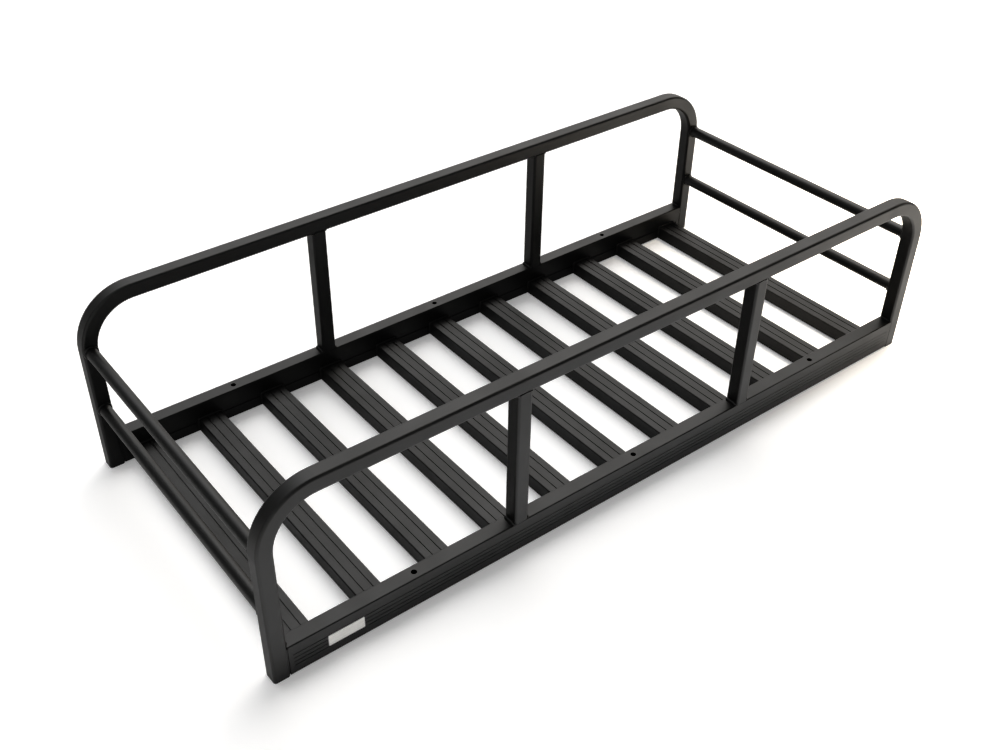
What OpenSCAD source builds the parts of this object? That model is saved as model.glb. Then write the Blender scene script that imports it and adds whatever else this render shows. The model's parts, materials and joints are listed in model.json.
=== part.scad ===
// Basket-style luggage rack: two bent square-tube side hoops over two extruded
// side rails, a floor of ribbed slats and two round rails across each end.
// All pieces are welded into one rigid frame; the weld beads are nodes of their own.
// Millimetres. X is the long side, Y the depth (the front, with the label plate,
// is -Y), Z is up, and the floor is at Z = 0.

/* [Overall size] */
// Length over the outer faces of the hoop legs
rack_l = 1480; // [1200:5:1800]
// Width over the outer faces of the two side hoops
rack_w = 638; // [450:1:800]
// Height from the floor to the top of the hoops
rack_h = 361; // [300:1:450]

/* [Hoop and post tube] */
// Side of the square tube of hoops and posts
tube_s = 28.6; // [22:0.1:32]
// Wall thickness of the square tube
tube_wall = 2; // [1.5:0.1:3]
// Outside corner radius of the square tube
tube_corner_r = 5; // [4:0.1:6]
// Centreline radius of the two bends of a hoop
bend_r = 92; // [60:1:115]
// Distance between the centres of the two posts of one side
post_spacing = 532; // [400:2:700]

/* [Side rails] */
// Height of the rail section
rail_h = 61.5; // [50:0.5:75]
// How far each rail face stands proud of the hoop tube, per side
rail_proud = 0; // [0:0.1:2]
// Wall thickness of the rail section
rail_wall = 2.5; // [2:0.1:3]
// Height above the rail's bottom of its highest outer groove
rail_groove_z = 40.5; // [36:0.5:44]
// Spacing of the outer grooves
rail_groove_pitch = 8; // [5:0.5:9]
// Width of one outer groove
rail_groove_w = 1; // [0.8:0.1:2]
// Depth of the outer grooves
rail_groove_d = 0.5; // [0.4:0.1:1]
// Length of the plain end block between a rail and a hoop leg
block_l = 8; // [6:0.5:14]
// Diameter of the mounting holes in the rail tops
hole_d = 10; // [6:0.1:12]
// Spacing of the mounting holes along a rail
hole_pitch = 474; // [380:1:520]

/* [Floor slats] */
// Width of one slat
slat_w = 47.6; // [36:0.1:58]
// Height of one slat
slat_h = 28; // [20:0.5:32]
// Wall thickness of the slat section
slat_wall = 2; // [1.5:0.1:2.5]
// Gap between the first slat and the hoop leg beside it
slat_end_gap = 17.6; // [17:0.1:40]
// Distance of the two top grooves from the middle of a slat
slat_groove_x = 8.7; // [6:0.1:11]
// Width of a slat's top groove
slat_groove_w = 3; // [2:0.1:4]
// Depth of a slat's top groove
slat_groove_d = 1.2; // [0.6:0.1:1.5]

/* [End rails] */
// Outside diameter of the round end rails
end_rail_d = 22.2; // [16:0.1:24]
// Wall thickness of the round end rails
end_rail_wall = 2; // [1.5:0.1:3]
// Distance from the top of the hoops down to the upper end rail's axis
upper_rail_drop = 104; // [85:0.5:120]
// Height of the lower end rail's axis above the top of the side rails
lower_rail_rise = 70; // [50:0.5:90]

/* [Welds] */
// Size of the fillet welds at the lower ends of the posts
post_weld = 7; // [3:0.5:12]
// Size of the fillet welds at the upper ends of the posts
post_top_weld = 5; // [3:0.5:12]
// Size of the fillet welds between the end blocks' tops and the hoop legs
corner_weld = 5; // [3:0.5:6]
// Distance of the upright seam beads behind the faces they fill
seam_inset = 0.3; // [0.2:0.1:0.6]
// Size of the weld collars around the round end rails
collar_weld = 3; // [1.5:0.1:3.2]
// Size of the weld beads around the slat ends
slat_weld = 3; // [2:0.1:4]

/* [Foot plugs and label] */
// Thickness of a foot plug's flange under the hoop leg
foot_t = 2; // [1.5:0.1:4]
// Depth of a foot plug inside the hoop leg
plug_depth = 18; // [12:0.5:30]
// Clearance between a foot plug and the tube bore, per side
plug_gap = 0.15; // [0.1:0.05:0.3]
// Length of the label plate
label_l = 65; // [40:1:90]
// Height of the label plate
label_h = 22; // [15:0.5:30]
// Thickness of the label plate
label_t = 0.8; // [0.5:0.1:1.5]

/* [Hidden] */
$fn = 96;

// Hoop
tube_in = tube_s - 2 * tube_wall;
tube_in_r = max(tube_corner_r - tube_wall, 0.5);
bend_out = bend_r + tube_s / 2;
bend_z = rack_h - bend_out;
bend_x = rack_l / 2 - bend_out;
leg_x = rack_l / 2 - tube_s / 2;
hoop_y = rack_w / 2 - tube_s / 2;
leg_len = bend_z - foot_t;

// Side rail
rail_w = tube_s + 2 * rail_proud;
rail_z0 = foot_t;
rail_top = rail_z0 + rail_h;
rail_out_y = rack_w / 2 + rail_proud;
rail_in_y = rail_out_y - rail_w;
rail_len = rack_l - 2 * tube_s - 2 * block_l;
rail_top_r = 2.5;
rail_foot_r = 1;
rail_lip_r = 1;
rail_cavity_r = 2.5;
inner_groove_z = 23;
inner_groove_w = 5;
inner_groove_d = 1.2;
groove_n = 4;
spigot_len = 22;
spigot_gap = 0.2;

// Slats
slat_n = 11;
slat_first = rack_l / 2 - tube_s - slat_end_gap - slat_w / 2;
slat_pitch = 2 * slat_first / (slat_n - 1);
slat_len = 2 * rail_in_y;
slat_r = 2.5;
slat_foot_r = 1;

// Posts
post_x = post_spacing / 2;
post_len = rack_h - tube_s - rail_top;
weld_lip = 0.6;
weld_y = tube_s - 2 * tube_corner_r;
seam_tip = 1.5;

// End rails
upper_z = rack_h - upper_rail_drop;
lower_z = rail_top + lower_rail_rise;
end_rail_len = rack_w - 2 * tube_s;

// Label plate, centred on the grooved band near the left end of the front rail
label_x = -rack_l / 2 + 129.5;
label_z = rail_z0 + 29.5;
label_r = 1.5;

side_hoop_front();
side_hoop_rear();
side_rail_front();
side_rail_rear();
end_block_front_left();
end_block_front_right();
end_block_rear_left();
end_block_rear_right();
post_front_left();
post_front_right();
post_rear_left();
post_rear_right();
end_rail_left_upper();
end_rail_left_lower();
end_rail_right_upper();
end_rail_right_lower();
slat_01();
slat_02();
slat_03();
slat_04();
slat_05();
slat_06();
slat_07();
slat_08();
slat_09();
slat_10();
slat_11();
foot_plug_front_left();
foot_plug_front_right();
foot_plug_rear_left();
foot_plug_rear_right();
post_welds_front();
post_welds_rear();
corner_welds();
end_rail_welds_left();
end_rail_welds_right();
slat_welds_front();
slat_welds_rear();
label_plate();

// ---- Shared profiles and shapes ----

// Centred rectangle with round corners
module rounded_rect(w, h, r) {
  square([w - 2 * r, h], center = true);
  square([w, h - 2 * r], center = true);
  for (sx = [-1, 1], sy = [-1, 1])
    translate([sx * (w / 2 - r), sy * (h / 2 - r)])
      circle(r);
}

module tube_profile() {
  difference() {
    rounded_rect(tube_s, tube_s, tube_corner_r);
    rounded_rect(tube_in, tube_in, tube_in_r);
  }
}

// Concave fillet weld: corner at the origin, legs along +X and +Y, with lips
module fillet_profile(s) {
  difference() {
    square([s, s]);
    translate([s, s])
      circle(s - weld_lip);
  }
}

// A length of fillet weld along Y, centred on Y = 0
module fillet_weld(s, len) {
  translate([0, len / 2, 0])
    rotate([90, 0, 0])
      linear_extrude(len)
        fillet_profile(s);
}

// ---- Side hoops ----

module hoop() {
  color([0.09, 0.09, 0.09]) union() {
    // Top run
    translate([-bend_x, 0, rack_h - tube_s / 2])
      rotate([90, 0, 90])
        linear_extrude(2 * bend_x)
          tube_profile();
    for (m = [0, 1])
      mirror([m, 0, 0]) {
        // Bend
        translate([bend_x, 0, bend_z])
          rotate([90, 0, 0])
            rotate_extrude(angle = 90)
              translate([bend_r, 0])
                tube_profile();
        // Leg
        translate([leg_x, 0, foot_t])
          linear_extrude(leg_len)
            tube_profile();
      }
  }
}

module side_hoop_front() {
  translate([0, -hoop_y, 0])
    hoop();
}

module side_hoop_rear() {
  translate([0, hoop_y, 0])
    hoop();
}

// ---- Side rails (profile X = towards the outside, profile Y = up) ----

// Outline of the rail section: inner face at X = 0, outer face at X = rail_w
module rail_outline() {
  translate([rail_lip_r, 0])
    square([rail_w - rail_lip_r - rail_foot_r, rail_h / 2]);
  translate([0, rail_lip_r])
    square([rail_w - rail_foot_r, rail_h - rail_lip_r - rail_top_r]);
  translate([rail_top_r, rail_foot_r])
    square([rail_w - rail_top_r, rail_h - rail_foot_r - rail_top_r]);
  translate([rail_top_r, rail_h / 2])
    square([rail_w - 2 * rail_top_r, rail_h / 2]);
  translate([rail_lip_r, rail_lip_r])
    circle(rail_lip_r);
  translate([rail_w - rail_foot_r, rail_foot_r])
    circle(rail_foot_r);
  for (x = [rail_top_r, rail_w - rail_top_r])
    translate([x, rail_h - rail_top_r])
      circle(rail_top_r);
}

module rail_cavity(gap) {
  translate([rail_w / 2, rail_h / 2])
    rounded_rect(rail_w - 2 * rail_wall - 2 * gap, rail_h - 2 * rail_wall - 2 * gap, rail_cavity_r);
}

module rail_profile() {
  difference() {
    rail_outline();
    rail_cavity(0);
    // Fine grooves along the outer face
    for (i = [0 : groove_n - 1])
      translate([rail_w - rail_groove_d, rail_groove_z - i * rail_groove_pitch - rail_groove_w / 2])
        square([rail_groove_d + 1, rail_groove_w]);
    // Shallow groove along the inner face
    translate([-1, inner_groove_z - inner_groove_w / 2])
      square([inner_groove_d + 1, inner_groove_w]);
  }
}

module rear_rail_solid() {
  color([0.1, 0.1, 0.1]) difference() {
    translate([-rail_len / 2, rail_in_y, rail_z0])
      rotate([90, 0, 90])
        linear_extrude(rail_len)
          rail_profile();
    // Mounting holes through the top wall
    for (x = [-hole_pitch, 0, hole_pitch])
      translate([x, rail_in_y + rail_w / 2, rail_top - rail_wall - 1])
        cylinder(h = rail_wall + 2, d = hole_d);
  }
}

module side_rail_rear() {
  rear_rail_solid();
}

module side_rail_front() {
  mirror([0, 1, 0])
    rear_rail_solid();
}

// ---- End blocks: plain end of a rail, with a spigot in its hollow ----

module rear_right_block() {
  color([0.1, 0.1, 0.1]) union() {
    translate([rail_len / 2, rail_in_y, rail_z0])
      rotate([90, 0, 90])
        linear_extrude(block_l)
          rail_outline();
    translate([rail_len / 2 - spigot_len, rail_in_y, rail_z0])
      rotate([90, 0, 90])
        linear_extrude(spigot_len + 1)
          rail_cavity(spigot_gap);
  }
}

module end_block_rear_right() {
  rear_right_block();
}

module end_block_rear_left() {
  mirror([1, 0, 0])
    rear_right_block();
}

module end_block_front_right() {
  mirror([0, 1, 0])
    rear_right_block();
}

module end_block_front_left() {
  mirror([1, 0, 0])
    mirror([0, 1, 0])
      rear_right_block();
}

// ---- Posts between rail and hoop ----

module post() {
  color([0.1, 0.1, 0.1])
    translate([0, 0, rail_top])
      linear_extrude(post_len)
        tube_profile();
}

module post_front_left() {
  translate([-post_x, -hoop_y, 0])
    post();
}

module post_front_right() {
  translate([post_x, -hoop_y, 0])
    post();
}

module post_rear_left() {
  translate([-post_x, hoop_y, 0])
    post();
}

module post_rear_right() {
  translate([post_x, hoop_y, 0])
    post();
}

// ---- Round end rails ----

// Middle of the hoop tube at height z, so that a rail by the bend still meets it
function leg_axis_x(z) = z <= bend_z ? leg_x : bend_x + sqrt(bend_r * bend_r - pow(z - bend_z, 2));

module end_rail(side, z) {
  color([0.11, 0.11, 0.11])
    translate([side * leg_axis_x(z), end_rail_len / 2, z])
      rotate([90, 0, 0])
        difference() {
          cylinder(h = end_rail_len, d = end_rail_d);
          translate([0, 0, -1])
            cylinder(h = end_rail_len + 2, d = end_rail_d - 2 * end_rail_wall);
        }
}

module end_rail_left_upper() {
  end_rail(-1, upper_z);
}

module end_rail_left_lower() {
  end_rail(-1, lower_z);
}

module end_rail_right_upper() {
  end_rail(1, upper_z);
}

module end_rail_right_lower() {
  end_rail(1, lower_z);
}

// ---- Floor slats (profile X = across the slat, profile Y = up) ----

module slat_profile() {
  difference() {
    union() {
      translate([-slat_w / 2, slat_foot_r])
        square([slat_w, slat_h - slat_foot_r - slat_r]);
      translate([-slat_w / 2 + slat_foot_r, 0])
        square([slat_w - 2 * slat_foot_r, slat_h / 2]);
      translate([-slat_w / 2 + slat_r, slat_h / 2])
        square([slat_w - 2 * slat_r, slat_h / 2]);
      for (s = [-1, 1]) {
        translate([s * (slat_w / 2 - slat_foot_r), slat_foot_r])
          circle(slat_foot_r);
        translate([s * (slat_w / 2 - slat_r), slat_h - slat_r])
          circle(slat_r);
      }
    }
    // Grooves in the top
    for (s = [-1, 1])
      translate([s * slat_groove_x, slat_h])
        polygon([
          [-slat_groove_w / 2, 1],
          [-slat_groove_w / 2, 0],
          [-slat_groove_w / 4, -slat_groove_d],
          [slat_groove_w / 4, -slat_groove_d],
          [slat_groove_w / 2, 0],
          [slat_groove_w / 2, 1]
        ]);
    // Three chambers with a web under each groove
    slat_chamber(-slat_w / 2 + slat_wall, -slat_groove_x - slat_wall / 2);
    slat_chamber(-slat_groove_x + slat_wall / 2, slat_groove_x - slat_wall / 2);
    slat_chamber(slat_groove_x + slat_wall / 2, slat_w / 2 - slat_wall);
  }
}

module slat_chamber(x0, x1) {
  translate([x0, slat_wall])
    square([x1 - x0, slat_h - 2 * slat_wall - slat_groove_d]);
}

module slat(i) {
  color([0.12, 0.12, 0.12])
    translate([-slat_first + (i - 1) * slat_pitch, slat_len / 2, rail_z0])
      rotate([90, 0, 0])
        linear_extrude(slat_len)
          slat_profile();
}

module slat_01() {
  slat(1);
}

module slat_02() {
  slat(2);
}

module slat_03() {
  slat(3);
}

module slat_04() {
  slat(4);
}

module slat_05() {
  slat(5);
}

module slat_06() {
  slat(6);
}

module slat_07() {
  slat(7);
}

module slat_08() {
  slat(8);
}

module slat_09() {
  slat(9);
}

module slat_10() {
  slat(10);
}

module slat_11() {
  slat(11);
}

// ---- Foot plugs: a flange under the leg and a hollow stem in its bore ----

module foot_plug() {
  stem = tube_in - 2 * plug_gap;
  color([0.05, 0.05, 0.05]) union() {
    linear_extrude(foot_t)
      rounded_rect(tube_s, tube_s, tube_corner_r);
    translate([0, 0, foot_t])
      linear_extrude(plug_depth)
        difference() {
          rounded_rect(stem, stem, tube_in_r);
          rounded_rect(stem - 4, stem - 4, 1);
        }
  }
}

module foot_plug_front_left() {
  translate([-leg_x, -hoop_y, 0])
    foot_plug();
}

module foot_plug_front_right() {
  translate([leg_x, -hoop_y, 0])
    foot_plug();
}

module foot_plug_rear_left() {
  translate([-leg_x, hoop_y, 0])
    foot_plug();
}

module foot_plug_rear_right() {
  translate([leg_x, hoop_y, 0])
    foot_plug();
}

// ---- Weld beads ----

// The four fillets of one post: two on the rail's top, two under the hoop
module post_weld_set() {
  for (m = [0, 1])
    mirror([m, 0, 0]) {
      translate([tube_s / 2, 0, rail_top])
        fillet_weld(post_weld, weld_y);
      translate([tube_s / 2, 0, rail_top + post_len])
        mirror([0, 0, 1])
          fillet_weld(post_top_weld, weld_y);
    }
}

module post_welds(side) {
  color([0.13, 0.13, 0.13])
    for (x = [-post_x, post_x])
      translate([x, side * hoop_y, 0])
        post_weld_set();
}

module post_welds_front() {
  post_welds(-1);
}

module post_welds_rear() {
  post_welds(1);
}

// Upright bead in the groove between a leg's round corner and an end block's end.
// The block's end is the plane X = 0, and the block's face is the plane Y = 0.
module seam_bead() {
  linear_extrude(rail_h - rail_foot_r - rail_top_r)
    difference() {
      translate([0, -tube_corner_r + seam_tip])
        square([tube_corner_r - seam_tip, tube_corner_r - seam_tip - seam_inset]);
      translate([tube_corner_r, -tube_corner_r])
        circle(tube_corner_r);
    }
}

// Welds between an end block and its hoop leg: a fillet on top, a seam on each face
module corner_weld_set() {
  mirror([1, 0, 0])
    translate([0, 0, rail_top])
      fillet_weld(corner_weld, weld_y);
  for (m = [0, 1])
    mirror([0, m, 0])
      translate([0, tube_s / 2, rail_z0 + rail_foot_r])
        seam_bead();
}

module corner_welds() {
  color([0.13, 0.13, 0.13])
    for (m = [0, 1], side = [-1, 1])
      mirror([m, 0, 0])
        translate([rack_l / 2 - tube_s, side * hoop_y, 0])
          corner_weld_set();
}

// Collar around the end of a round rail, standing on Z = 0
module collar() {
  rotate_extrude()
    translate([end_rail_d / 2, 0])
      polygon([
        [0, 0],
        [collar_weld, 0],
        [collar_weld, 0.8],
        [0.6, collar_weld + 0.6],
        [0, collar_weld + 0.6]
      ]);
}

module end_rail_welds(side) {
  color([0.13, 0.13, 0.13])
    for (z = [lower_z, upper_z], m = [0, 1])
      mirror([0, m, 0])
        translate([side * leg_axis_x(z), end_rail_len / 2, z])
          rotate([90, 0, 0])
            collar();
}

module end_rail_welds_left() {
  end_rail_welds(-1);
}

module end_rail_welds_right() {
  end_rail_welds(1);
}

// Outline of the bead around a slat's end, seen along the slat
module slat_bead_outline() {
  difference() {
    translate([-slat_w / 2 - slat_weld, slat_foot_r])
      square([slat_w + 2 * slat_weld, slat_h - slat_foot_r + slat_weld]);
    translate([-slat_w / 2, 0])
      square([slat_w, slat_h - slat_r]);
    translate([-slat_w / 2 + slat_r, 0])
      square([slat_w - 2 * slat_r, slat_h]);
    for (s = [-1, 1])
      translate([s * (slat_w / 2 - slat_r), slat_h - slat_r])
        circle(slat_r);
    // Bevelled corners
    for (s = [-1, 1])
      translate([s * (slat_w / 2 + slat_weld), slat_h + slat_weld])
        rotate([0, 0, 45])
          square([slat_weld * 1.6, slat_weld * 1.6], center = true);
  }
}

module slat_welds(side) {
  color([0.13, 0.13, 0.13])
    for (i = [1 : slat_n])
      translate([-slat_first + (i - 1) * slat_pitch, side * rail_in_y, rail_z0])
        rotate([90, 0, 0])
          mirror([0, 0, side < 0 ? 1 : 0])
            linear_extrude(slat_weld)
              slat_bead_outline();
}

module slat_welds_front() {
  slat_welds(-1);
}

module slat_welds_rear() {
  slat_welds(1);
}

// ---- Blank label plate on the front rail, with a raised rim ----

module label_plate() {
  color([0.75, 0.75, 0.74])
    translate([label_x, -rail_out_y, label_z])
      rotate([90, 0, 0])
        difference() {
          linear_extrude(label_t)
            rounded_rect(label_l, label_h, label_r);
          translate([0, 0, label_t - 0.2])
            linear_extrude(1)
              rounded_rect(label_l - 3, label_h - 3, 1);
        }
}
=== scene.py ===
"""Basket luggage rack in satin black powder coat: finishes, weld beads, floor, light and camera.

Metres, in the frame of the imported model: X along the rack, -Y the front, Z up.
"""
import json
import math
import random

import bmesh
import bpy
from mathutils import Matrix, Vector


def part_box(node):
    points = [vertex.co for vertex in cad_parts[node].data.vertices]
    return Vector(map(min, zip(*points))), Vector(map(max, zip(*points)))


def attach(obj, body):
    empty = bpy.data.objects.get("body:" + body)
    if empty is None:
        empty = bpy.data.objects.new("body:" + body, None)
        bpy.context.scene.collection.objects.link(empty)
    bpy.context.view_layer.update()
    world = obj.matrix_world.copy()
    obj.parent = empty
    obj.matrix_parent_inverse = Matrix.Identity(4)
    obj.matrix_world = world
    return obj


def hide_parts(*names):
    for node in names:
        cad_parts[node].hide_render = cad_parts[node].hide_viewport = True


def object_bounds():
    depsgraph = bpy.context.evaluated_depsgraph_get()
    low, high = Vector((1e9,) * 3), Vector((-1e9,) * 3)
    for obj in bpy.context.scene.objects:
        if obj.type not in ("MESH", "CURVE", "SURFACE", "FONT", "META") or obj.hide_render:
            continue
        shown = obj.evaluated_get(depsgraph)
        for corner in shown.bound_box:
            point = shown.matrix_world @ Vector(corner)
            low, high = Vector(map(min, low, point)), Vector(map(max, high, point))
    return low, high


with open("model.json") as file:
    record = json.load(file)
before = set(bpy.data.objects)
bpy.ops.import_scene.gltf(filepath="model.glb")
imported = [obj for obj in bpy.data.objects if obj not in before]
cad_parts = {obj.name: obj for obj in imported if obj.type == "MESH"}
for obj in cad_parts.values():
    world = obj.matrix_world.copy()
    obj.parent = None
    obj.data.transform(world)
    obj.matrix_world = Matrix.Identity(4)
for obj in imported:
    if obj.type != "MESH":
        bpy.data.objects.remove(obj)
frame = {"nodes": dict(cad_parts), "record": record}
cad_box = [list(corner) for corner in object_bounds()]

MM = 0.001


# ---- Colour and node helpers ----

def srgb(code):
    """A '#rrggbb' sRGB colour as linear RGBA."""
    channels = [int(code[i:i + 2], 16) / 255 for i in (1, 3, 5)]
    linear = [c / 12.92 if c <= 0.04045 else ((c + 0.055) / 1.055) ** 2.4 for c in channels]
    return (*linear, 1.0)


def grey(level):
    """A linear grey, for levels of light and shade."""
    return (level, level, level, 1.0)


def add_node(tree, kind, settings=None, **inputs):
    """Adds a node with its settings, and sets or links its inputs.

    An input is a value or a (node, output) link. Its name has _ for a space, or is _
    and the socket's number.
    """
    made = tree.nodes.new(kind)
    for name, value in (settings or {}).items():
        setattr(made, name, value)
    for name, value in inputs.items():
        numbered = name[1:].isdigit()
        socket = made.inputs[int(name[1:])] if numbered else made.inputs[name.replace("_", " ")]
        if isinstance(value, tuple) and isinstance(value[0], bpy.types.Node):
            tree.links.new(value[0].outputs[value[1]], socket)
        else:
            socket.default_value = value
    return made


def new_material(name):
    """An empty material: (material, tree, the texture coordinates in metres)."""
    material = bpy.data.materials.new(name)
    material.use_nodes = True
    tree = material.node_tree
    tree.nodes.clear()
    return material, tree, (add_node(tree, "ShaderNodeTexCoord"), "Object")


def per_metre(size_mm):
    """Scale of a noise texture whose features are size_mm across."""
    return 1 / (size_mm * MM)


def set_ramp(ramp_node, *stops):
    """Places a colour ramp's stops; each is (position, colour)."""
    ramp = ramp_node.color_ramp
    for k, (position, colour) in enumerate(stops):
        stop = ramp.elements[k] if k < len(ramp.elements) else ramp.elements.new(position)
        stop.position = position
        stop.color = colour


# ---- Materials ----

def powder_coat(name, dark, light, roughness):
    """Satin black polyester powder coat, sprayed and baked on aluminium.

    The eye sees a soft sheen, a fine orange-peel grain, and slow changes of tone where
    the powder lies thicker.
    """
    material, tree, place = new_material(name)
    tone = add_node(tree, "ShaderNodeTexNoise", Vector=place, Scale=per_metre(70),
                    Detail=3.0, Roughness=0.55)
    speck = add_node(tree, "ShaderNodeTexNoise", Vector=place, Scale=per_metre(2.2),
                     Detail=2.0, Roughness=0.6)
    blend = add_node(tree, "ShaderNodeMath", {"operation": "MULTIPLY_ADD"},
                     _0=(speck, "Fac"), _1=0.35, _2=(tone, "Fac"))
    colour = add_node(tree, "ShaderNodeValToRGB", Fac=(blend, "Value"))
    set_ramp(colour, (0.45, srgb(dark)), (0.9, srgb(light)))
    sheen = add_node(tree, "ShaderNodeMapRange", Value=(tone, "Fac"),
                     From_Min=0.3, From_Max=0.7, To_Min=roughness - 0.04, To_Max=roughness + 0.05)
    peel = add_node(tree, "ShaderNodeTexNoise", Vector=place, Scale=per_metre(1.1),
                    Detail=2.0, Roughness=0.5)
    bump = add_node(tree, "ShaderNodeBump", Height=(peel, "Fac"), Distance=0.012 * MM, Strength=1.0)
    shader = add_node(tree, "ShaderNodeBsdfPrincipled", Base_Color=(colour, "Color"),
                      Roughness=(sheen, "Result"), Normal=(bump, "Normal"), IOR=1.5)
    add_node(tree, "ShaderNodeOutputMaterial", Surface=(shader, "BSDF"))
    return material


def moulded_plastic():
    """Matt black polyethylene, injection moulded with a spark-eroded grain.

    The eye sees a dull, slightly mottled black. The real grain is about 0.2 mm across and
    is drawn at 0.8 mm, so that it shows.
    """
    material, tree, place = new_material("moulded_black_polyethylene")
    grain = add_node(tree, "ShaderNodeTexNoise", Vector=place, Scale=per_metre(0.8),
                     Detail=3.0, Roughness=0.6)
    colour = add_node(tree, "ShaderNodeValToRGB", Fac=(grain, "Fac"))
    set_ramp(colour, (0.0, srgb("#121212")), (1.0, srgb("#1d1d1c")))
    bump = add_node(tree, "ShaderNodeBump", Height=(grain, "Fac"), Distance=0.05 * MM, Strength=1.0)
    shader = add_node(tree, "ShaderNodeBsdfPrincipled", Base_Color=(colour, "Color"),
                      Roughness=0.6, Normal=(bump, "Normal"), IOR=1.5)
    add_node(tree, "ShaderNodeOutputMaterial", Surface=(shader, "BSDF"))
    return material


def brushed_aluminium():
    """Blank label plate of aluminium sheet, brushed along its length under a white lacquer.

    The eye sees a pale, almost white plate with fine lengthwise lines and a dull shine.
    The real lines are about 0.1 mm apart and are drawn at 0.7 mm, so that they show.
    """
    material, tree, place = new_material("brushed_aluminium")
    stretch = add_node(tree, "ShaderNodeMapping", Vector=place, Scale=(0.03, 1.0, 1.0))
    lines = add_node(tree, "ShaderNodeTexNoise", Vector=(stretch, "Vector"),
                     Scale=per_metre(0.7), Detail=4.0, Roughness=0.7)
    colour = add_node(tree, "ShaderNodeValToRGB", Fac=(lines, "Fac"))
    set_ramp(colour, (0.3, srgb("#dddcd9")), (0.7, srgb("#f1f0ee")))
    rough = add_node(tree, "ShaderNodeMapRange", Value=(lines, "Fac"), To_Min=0.35, To_Max=0.55)
    bump = add_node(tree, "ShaderNodeBump", Height=(lines, "Fac"), Distance=0.02 * MM, Strength=0.6)
    shader = add_node(tree, "ShaderNodeBsdfPrincipled", Base_Color=(colour, "Color"),
                      Roughness=(rough, "Result"), Normal=(bump, "Normal"), Metallic=0.15)
    add_node(tree, "ShaderNodeOutputMaterial", Surface=(shader, "BSDF"))
    return material


MATERIALS = {
    "hoop_coat": powder_coat("powder_coat_on_square_tube", "#0a0a0a", "#131312", 0.48),
    "rail_coat": powder_coat("powder_coat_on_side_rails", "#090909", "#121211", 0.5),
    "round_coat": powder_coat("powder_coat_on_round_tube", "#0a0a0a", "#131312", 0.46),
    "slat_coat": powder_coat("powder_coat_on_slats", "#0b0b0b", "#141413", 0.52),
    "weld_coat": powder_coat("powder_coat_on_weld_beads", "#0a0a0a", "#131312", 0.42),
    "plug_plastic": moulded_plastic(),
    "label_metal": brushed_aluminium(),
}


def dress_cad_nodes():
    """Gives every carried-over node the finish of its slot in the record."""
    for part in frame["record"]["subparts"]:
        node = frame["nodes"][part["node"]]
        node.data.materials.clear()
        node.data.materials.append(MATERIALS[part["material_slot"]])


dress_cad_nodes()


# ---- Weld beads: rippled runs of filler metal, coated over ----

# Flats around a bead, from ripple to ripple, and from ring to ring of its mesh
BEAD_SIDES = 10
RIPPLE_MM = 2.4
RING_STEP_MM = 0.6
# A bead's radius between ripples, what a ripple and the slow drift of the hand add to it,
# and what is left of it at an open end, as shares of its nominal radius
BEAD_WAIST = 0.9
RIPPLE_RISE = 0.16
DRIFT_RISE = 0.07
END_SHARE = 0.35
# Rings over which the drift goes from one chance value to the next
RINGS_PER_DRIFT = 12

post_lo, post_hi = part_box("post_rear_right")
half_tube = (post_hi[0] - post_lo[0]) / 2
hoop_under = post_hi[2]
rail_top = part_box("side_rail_rear")[1][2]
# The square tube's round outer corner
corner_r = 5 * MM


def walk(points, step):
    """Points spaced evenly along a polyline, with the direction of travel at each."""
    points = [Vector(p) for p in points]
    lengths = [(b - a).length for a, b in zip(points, points[1:])]
    count = max(3, round(sum(lengths) / step))
    spots = []
    for k in range(count + 1):
        left = sum(lengths) * k / count
        leg = 0
        while leg < len(lengths) - 1 and left > lengths[leg]:
            left -= lengths[leg]
            leg += 1
        spots.append(points[leg].lerp(points[leg + 1], min(1.0, left / lengths[leg])))
    ways = [(spots[min(k + 1, count)] - spots[max(k - 1, 0)]).normalized() for k in range(count + 1)]
    return spots, ways


def lay_bead(shape, points, radius, closed, seed):
    """Sweeps a rippled round bead along a path; its ends taper unless the path is closed."""
    chance = random.Random(seed)
    spots, ways = walk(points, RING_STEP_MM * MM)
    if closed:
        spots, ways = spots[:-1], ways[:-1]
        ways[0] = ways[-1] = (spots[1] - spots[-1]).normalized()
    drift = [chance.uniform(-1, 1) for _ in range(len(spots) // RINGS_PER_DRIFT + 3)]
    turns = [math.tau * n / BEAD_SIDES for n in range(BEAD_SIDES)]
    across = ways[0].orthogonal().normalized()
    rings = []
    for k, (spot, way) in enumerate(zip(spots, ways)):
        across = (across - way * across.dot(way)).normalized()
        over = way.cross(across)
        ripple = (k * RING_STEP_MM / RIPPLE_MM) % 1.0
        block, step = divmod(k, RINGS_PER_DRIFT)
        slow = drift[block] + (drift[block + 1] - drift[block]) * step / RINGS_PER_DRIFT
        size = radius * (BEAD_WAIST + RIPPLE_RISE * ripple ** 0.5 + DRIFT_RISE * slow)
        if not closed:
            to_end = min(k, len(spots) - 1 - k) * RING_STEP_MM * MM
            size *= min(1.0, END_SHARE + (1 - END_SHARE) * to_end / radius)
        rings.append([shape.verts.new(spot + size * (math.cos(t) * across + math.sin(t) * over))
                      for t in turns])
    pairs = list(zip(rings, rings[1:])) + ([(rings[-1], rings[0])] if closed else [])
    for a, b in pairs:
        for n in range(BEAD_SIDES):
            m = (n + 1) % BEAD_SIDES
            shape.faces.new((a[n], a[m], b[m], b[n]))
    if not closed:
        shape.faces.new(rings[0])
        shape.faces.new(list(reversed(rings[-1])))


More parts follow.
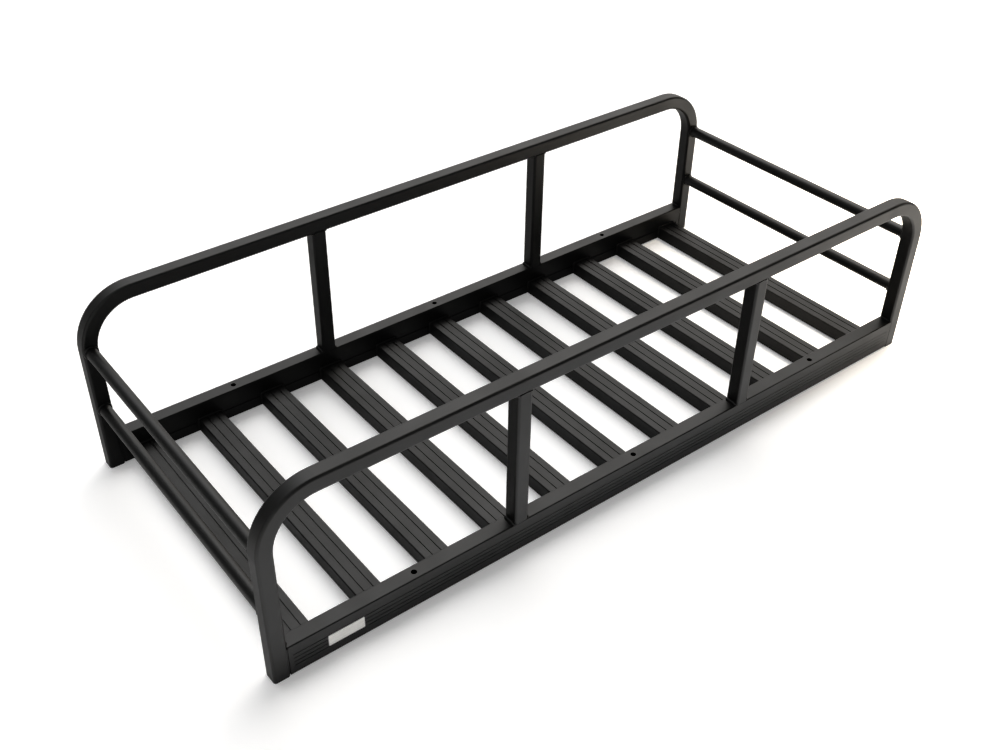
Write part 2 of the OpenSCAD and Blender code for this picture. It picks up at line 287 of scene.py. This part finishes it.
def bead_piece(name, node, runs):
    """One mesh of weld beads standing in for a weld node; runs are (points, radius, closed)."""
    shape = bmesh.new()
    for seed, (points, radius, closed) in enumerate(runs):
        lay_bead(shape, points, radius, closed, seed)
    bmesh.ops.recalc_face_normals(shape, faces=shape.faces)
    mesh = bpy.data.meshes.new(name)
    shape.to_mesh(mesh)
    shape.free()
    for face in mesh.polygons:
        face.use_smooth = True
    mesh.materials.append(MATERIALS["weld_coat"])
    piece = bpy.data.objects.new(name, mesh)
    bpy.context.scene.collection.objects.link(piece)
    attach(piece, "root")
    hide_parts(node)


def middle(node):
    """Middle of a node's box in X and Y."""
    lo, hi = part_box(node)
    return (lo[0] + hi[0]) / 2, (lo[1] + hi[1]) / 2


def wrapped_side(x, y, z, side):
    """Path along one side of a square tube at height z, turning a little around its corners."""
    straight = half_tube - corner_r
    turn = [math.radians(a) for a in (50, 30, 12, 0)]
    path = []
    for end in (-1, 1):
        bend = [(x + side * (straight + corner_r * math.cos(t)),
                 y + end * (straight + corner_r * math.sin(t)), z) for t in turn]
        path += bend if end < 0 else bend[::-1]
    return path


def post_runs(post):
    """Beads around a post's foot on the rail and around its head under the hoop."""
    foot_left_r, foot_right_r = 4.8 * MM, 3.6 * MM
    head_side_r = 2.8 * MM
    foot_face_r, head_face_r = 1.7 * MM, 2.3 * MM
    foot_sink, head_sink, head_arch = 0.6 * MM, 0.4 * MM, 0.8 * MM
    # The beads on the rack's rear outline lie deeper, so that they stay inside it
    face_sink, rear_sink = 1.9 * MM, 2.9 * MM

    x, y = middle(post)
    reach = half_tube - 0.5 * corner_r
    foot_z, head_z = rail_top - foot_sink, hoop_under - head_sink
    runs = []
    for side, foot_side_r in ((-1, foot_left_r), (1, foot_right_r)):
        runs.append((wrapped_side(x, y, rail_top, side), foot_side_r, False))
        runs.append((wrapped_side(x, y, hoop_under, side), head_side_r, False))
        foot_y = y + side * (half_tube - face_sink)
        runs.append(([(x - reach, foot_y, foot_z), (x + reach, foot_y, foot_z)], foot_face_r, False))
        head_y = y + side * (half_tube - (rear_sink if side > 0 and y > 0 else face_sink))
        runs.append(([(x - reach, head_y, head_z), (x, head_y, hoop_under + head_arch),
                      (x + reach, head_y, head_z)], head_face_r, False))
    return runs


def corner_runs():
    """Beads between the rails' end blocks and the hoop legs: one on top, one up each face."""
    top_r, seam_r = 3.4 * MM, 2.0 * MM
    lift = 0.3 * MM
    seam_inset, seam_sink = 1.2 * MM, 2.3 * MM
    seam_from, seam_to = 4 * MM, 1 * MM
    flat = half_tube - corner_r

    runs = []
    for corner in ("front_left", "front_right", "rear_left", "rear_right"):
        block = "end_block_" + corner
        lo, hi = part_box(block)
        y = middle(block)[1]
        x, inward = (lo[0], 1) if corner.endswith("left") else (hi[0], -1)
        top_x, top_z = x + lift * inward, rail_top + lift
        runs.append(([(top_x, y - flat, top_z), (top_x, y + flat, top_z)], top_r, False))
        seam_x = x - seam_inset * inward
        for face in (-1, 1):
            seam_y = y + face * (half_tube - seam_sink)
            runs.append(([(seam_x, seam_y, lo[2] + seam_from), (seam_x, seam_y, rail_top - seam_to)],
                         seam_r, False))
    return runs


def collar_runs(side):
    """Beads around the ends of the round rails, saddled over the legs' round corners, with a lump below."""
    bead_r, lump_r = 2.6 * MM, 4 * MM
    lift, sink = 0.1 * MM, 0.6 * MM
    lump_half, lump_sink, lump_drop = 2.5 * MM, 2 * MM, 1.5 * MM
    points = 48

    runs = []
    for level in ("upper", "lower"):
        lo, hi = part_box("end_rail_%s_%s" % (side, level))
        x, z = (lo[0] + hi[0]) / 2, (lo[2] + hi[2]) / 2
        radius = (hi[2] - lo[2]) / 2 + lift
        for end in (-1, 1):
            ring = []
            for n in range(points + 1):
                t = math.tau * n / points
                past_flat = max(0.0, abs(radius * math.cos(t)) - (half_tube - corner_r))
                saddle = corner_r - math.sqrt(max(0.0, corner_r ** 2 - past_flat ** 2))
                ring.append((x + radius * math.cos(t), end * (hi[1] - sink + saddle),
                             z + radius * math.sin(t)))
            runs.append((ring, bead_r, True))
            lump_y, lump_z = end * (hi[1] - lump_sink), z - radius - lump_drop
            runs.append(([(x - lump_half, lump_y, lump_z), (x + lump_half, lump_y, lump_z)], lump_r, False))
    return runs


def slat_runs(end):
    """Beads up the sides and across the top of every slat's end, against the rail."""
    bead_r = 2.8 * MM
    sink, start_up, trim = 0.5 * MM, 3 * MM, 1.5 * MM

    runs = []
    for node in sorted(name for name in frame["nodes"] if name.startswith("slat_") and name[5:].isdigit()):
        lo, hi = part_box(node)
        y, low = end * (hi[1] - sink), lo[2] + start_up
        runs.append(([(lo[0], y, low), (lo[0], y, hi[2] - trim), (lo[0] + trim, y, hi[2]),
                      (hi[0] - trim, y, hi[2]), (hi[0], y, hi[2] - trim), (hi[0], y, low)], bead_r, False))
    return runs


bead_piece("beads_front_posts", "post_welds_front",
           post_runs("post_front_left") + post_runs("post_front_right"))
bead_piece("beads_rear_posts", "post_welds_rear",
           post_runs("post_rear_left") + post_runs("post_rear_right"))
bead_piece("beads_corners", "corner_welds", corner_runs())
bead_piece("beads_left_collars", "end_rail_welds_left", collar_runs("left"))
bead_piece("beads_right_collars", "end_rail_welds_right", collar_runs("right"))
bead_piece("beads_front_slats", "slat_welds_front", slat_runs(-1))
bead_piece("beads_rear_slats", "slat_welds_rear", slat_runs(1))


# ---- Floor, light and camera ----

SMOOTH = {"interpolation_type": "SMOOTHSTEP"}
TIMES = {"operation": "MULTIPLY"}


def floor_paper():
    """Uncoated white paper: dead matt and evenly white to the eye.

    Only glossy rays see painted light on it: a painted pool of light just in front of the
    rack, and painted shade under and behind the rack, which the coat mirrors.
    """
    material, tree, place = new_material("white_paper_floor")
    fibre = add_node(tree, "ShaderNodeTexNoise", Vector=place, Scale=per_metre(400), Detail=2.0)
    colour = add_node(tree, "ShaderNodeValToRGB", Fac=(fibre, "Fac"))
    set_ramp(colour, (0.0, srgb("#f4f4f4")), (1.0, srgb("#f8f8f8")))
    white = add_node(tree, "ShaderNodeBsdfPrincipled", Base_Color=(colour, "Color"), Roughness=0.9,
                     Specular_IOR_Level=0.0, Emission_Color=grey(1.0), Emission_Strength=0.17)

    across = (add_node(tree, "ShaderNodeSeparateXYZ", Vector=place), "Y")
    mirrored = (add_node(tree, "ShaderNodeLightPath"), "Is Glossy Ray")
    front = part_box("side_rail_front")[0][1]
    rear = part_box("side_rail_rear")[1][1]

    # Painted shade, seen only by glossy rays: it starts under the front rail and deepens towards the rear
    front_edge = add_node(tree, "ShaderNodeMapRange", SMOOTH, Value=across,
                          From_Min=front - 20 * MM, From_Max=front + 30 * MM)
    painted_shade_depth = add_node(tree, "ShaderNodeMapRange", Value=across,
                         From_Min=rear - 220 * MM, From_Max=rear + 80 * MM, To_Min=0.45, To_Max=0.68)
    under = add_node(tree, "ShaderNodeMath", TIMES, _0=(front_edge, "Result"), _1=(painted_shade_depth, "Result"))
    painted_shade_in_reflections = add_node(tree, "ShaderNodeMath", TIMES, _0=(under, "Value"), _1=mirrored)
    # Painted shade: a dull grey paper that glossy rays meet in place of the white
    shade = add_node(tree, "ShaderNodeBsdfDiffuse", Color=grey(0.38))
    sheet = add_node(tree, "ShaderNodeMixShader", _0=(painted_shade_in_reflections, "Value"),
                     _1=(white, "BSDF"), _2=(shade, "BSDF"))

    # A painted pool of light, seen only by glossy rays: it fades in within a hand's width of the rack, and
    # out again further forward
    pool_near = add_node(tree, "ShaderNodeMapRange", SMOOTH, Value=across,
                         From_Min=front - 20 * MM, From_Max=front - 120 * MM)
    pool_far = add_node(tree, "ShaderNodeMapRange", SMOOTH, Value=across,
                        From_Min=front - 360 * MM, From_Max=front - 200 * MM)
    pool = add_node(tree, "ShaderNodeMath", TIMES, _0=(pool_near, "Result"), _1=(pool_far, "Result"))
    painted_pool_in_reflections = add_node(tree, "ShaderNodeMath", TIMES, _0=(pool, "Value"), _1=mirrored)
    painted_pool_strength = add_node(tree, "ShaderNodeMath", TIMES, _0=(painted_pool_in_reflections, "Value"), _1=0.45)
    # Painted light: the floor glows here for glossy rays only
    painted_pool_glow = add_node(tree, "ShaderNodeEmission", Color=grey(1.0), Strength=(painted_pool_strength, "Value"))
    sheet_with_painted_pool = add_node(tree, "ShaderNodeAddShader", _0=(sheet, "Shader"), _1=(painted_pool_glow, "Emission"))
    add_node(tree, "ShaderNodeOutputMaterial", Surface=(sheet_with_painted_pool, "Shader"))
    return material


def studio_floor():
    """A large flat sheet of paper under the rack."""
    mesh = bpy.data.meshes.new("studio_floor")
    shape = bmesh.new()
    bmesh.ops.create_grid(shape, x_segments=2, y_segments=2, size=30)
    shape.to_mesh(mesh)
    shape.free()
    mesh.materials.append(floor_paper())
    floor = bpy.data.objects.new("studio_floor", mesh)
    bpy.context.scene.collection.objects.link(floor)


def studio_light():
    """A light tent: bright above and behind the rack, dim in front, a soft fill at the front left.

    The surround's light depends only on direction, so every side keeps its own light.
    """
    world = bpy.data.worlds.new("light_tent")
    world.use_nodes = True
    tree = world.node_tree
    tree.nodes.clear()
    direction = (add_node(tree, "ShaderNodeTexCoord"), "Generated")
    axes = add_node(tree, "ShaderNodeSeparateXYZ", Vector=direction)

    # The tent's light by height, from the horizon (0) to straight up (1)
    height = add_node(tree, "ShaderNodeValToRGB", Fac=(axes, "Z"))
    set_ramp(height, (0.0, grey(0.2)), (1.0, grey(1.15)), (0.3, grey(0.22)), (0.5, grey(0.38)),
             (0.64, grey(0.62)), (0.8, grey(1.0)))
    # It shines from the rear half only, and stronger towards the right
    behind = add_node(tree, "ShaderNodeMapRange", SMOOTH, Value=(axes, "Y"), From_Min=-0.05, From_Max=0.3)
    rightward = add_node(tree, "ShaderNodeMapRange", SMOOTH, Value=(axes, "X"),
                         From_Min=-0.4, From_Max=0.7, To_Min=0.16, To_Max=1.6)
    side = add_node(tree, "ShaderNodeMath", TIMES, _0=(behind, "Result"), _1=(rightward, "Result"))
    back = add_node(tree, "ShaderNodeMath", TIMES, _0=(height, "Color"), _1=(side, "Value"))

    # A weak fill all round, a little stronger from the front left
    toward_fill = add_node(tree, "ShaderNodeVectorMath", {"operation": "DOT_PRODUCT"},
                           _0=direction, _1=(-0.72, -0.6, 0.35))
    fill = add_node(tree, "ShaderNodeMapRange", SMOOTH, Value=(toward_fill, "Value"),
                    From_Min=0.35, From_Max=1.0, To_Min=0.05, To_Max=0.25)
    total = add_node(tree, "ShaderNodeMath", {"operation": "ADD"}, _0=(back, "Value"), _1=(fill, "Result"))
    strength = add_node(tree, "ShaderNodeMath", TIMES, _0=(total, "Value"), _1=2.3)

    # Slightly warmer from the right; sockets 6 and 7 of a colour mix are its two colours
    warmth = add_node(tree, "ShaderNodeMapRange", Value=(axes, "X"), From_Min=0.2, From_Max=0.9)
    tint = add_node(tree, "ShaderNodeMix", {"data_type": "RGBA"}, _0=(warmth, "Result"),
                    _6=grey(1.0), _7=(1.06, 1.0, 0.93, 1.0))
    tent = add_node(tree, "ShaderNodeBackground", Color=(tint, "Result"), Strength=(strength, "Value"))
    # The camera sees plain pale paper behind the rack
    backdrop = add_node(tree, "ShaderNodeBackground", Color=srgb("#f6f6f5"), Strength=1.0)
    seen = add_node(tree, "ShaderNodeLightPath")
    surround = add_node(tree, "ShaderNodeMixShader", _0=(seen, "Is Camera Ray"),
                        _1=(tent, "Background"), _2=(backdrop, "Background"))
    add_node(tree, "ShaderNodeOutputWorld", Surface=(surround, "Shader"))
    bpy.context.scene.world = world


def side_light():
    """A soft warm panel high over the right end, which brightens the floor there."""
    data = bpy.data.lights.new("warm_panel", "AREA")
    data.shape = "DISK"
    data.size = 0.9
    data.energy = 9
    data.spread = math.radians(45)
    data.color = (1.0, 0.89, 0.74)
    panel = bpy.data.objects.new("warm_panel", data)
    panel.location = (cad_box[1][0] + 0.68, -0.25, 2.2)
    bpy.context.scene.collection.objects.link(panel)


# Light in and light out on the print: a deep toe, true middle tones, and full white from 0.68 up
PRINT_CURVE = ((0.012, 0.0042), (0.02, 0.0105), (0.03, 0.022), (0.045, 0.042), (0.07, 0.07),
               (0.2, 0.2), (0.35, 0.4), (0.52, 0.72), (0.68, 1.0))


def develop():
    """Gives the picture the tones of a printed catalogue, by way of the view settings."""
    view = bpy.context.scene.view_settings
    view.view_transform = "Standard"
    view.use_curve_mapping = True
    view.curve_mapping.use_clip = False
    tones = view.curve_mapping.curves[3]
    tones.points[-1].location = (1.0, 1.5)
    for light_in, light_out in PRINT_CURVE:
        tones.points.new(light_in, light_out)
    for point in tones.points:
        point.handle_type = "VECTOR"
    view.curve_mapping.update()


def main_camera():
    """Looks down at the rack from the front left, from about 1.4 m above the floor."""
    data = bpy.data.cameras.new("camera")
    data.sensor_fit = "HORIZONTAL"
    data.sensor_width = 36
    data.lens = 42.05
    data.shift_x = 0.032
    data.shift_y = -0.002
    data.clip_start = 0.05
    data.clip_end = 100
    camera = bpy.data.objects.new("camera", data)
    # The camera's own axes, with its trace of roll
    right = Vector((0.801, -0.5987, -0.0014))
    up = Vector((0.3601, 0.48, 0.7999))
    ahead = Vector((0.4783, 0.6412, -0.6001))
    turn = Matrix((right, up, -ahead)).transposed()
    camera.matrix_world = Matrix.Translation((-1.1775, -1.3921, 1.4268)) @ turn.to_4x4()
    bpy.context.scene.collection.objects.link(camera)
    bpy.context.scene.camera = camera


studio_floor()
studio_light()
side_light()
develop()
main_camera()
